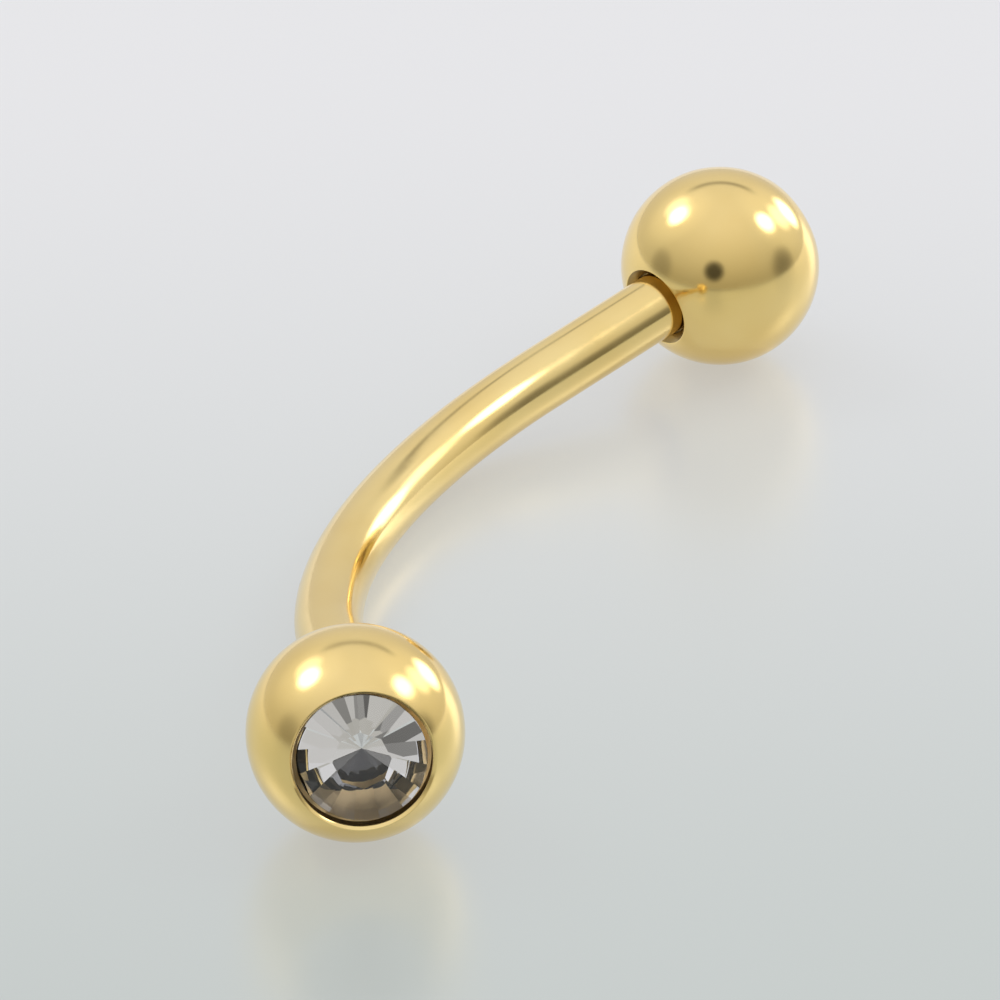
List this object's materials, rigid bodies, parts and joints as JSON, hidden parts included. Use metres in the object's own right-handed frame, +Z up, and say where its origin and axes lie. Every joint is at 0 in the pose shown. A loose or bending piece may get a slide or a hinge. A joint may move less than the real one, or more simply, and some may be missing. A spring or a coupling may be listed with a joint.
{
  "type": "snake eyes tongue barbell",
  "caption": "Curved gold-coloured barbell: a bent round wire with a screw-on ball on each end, and a round facetted crystal set in each ball's outer face.",
  "frame": {"origin": "middle of the box, on the surface that the two balls and the middle of the bend lie on", "axes": "+X along the span from the front ball to the rear ball, +Y towards the outside of the bend, +Z up"},
  "size_m": [0.0238, 0.0062, 0.004],
  "materials": {
    "gold": "mirror-polished pale yellow gold plating",
    "crystal": "clear facetted crystal without foil, over a dark hole and a gold seat"
  },
  "bodies": {
    "bar": {"bar": "gold"},
    "front_ball": {"front_ball": "gold", "front_crystal": "crystal"},
    "rear_ball": {"rear_ball": "gold", "rear_crystal": "crystal"}
  },
  "joints": [
    {"name": "front_ball_unscrews", "type": "slide", "parent": "bar", "child": "front_ball", "axis": [-0.8788, -0.4462, 0.1691], "range_m": [0, 0.0032]},
    {"name": "rear_ball_unscrews", "type": "slide", "parent": "bar", "child": "rear_ball", "axis": [0.8788, -0.4462, 0.1691], "range_m": [0, 0.0032]}
  ]
}
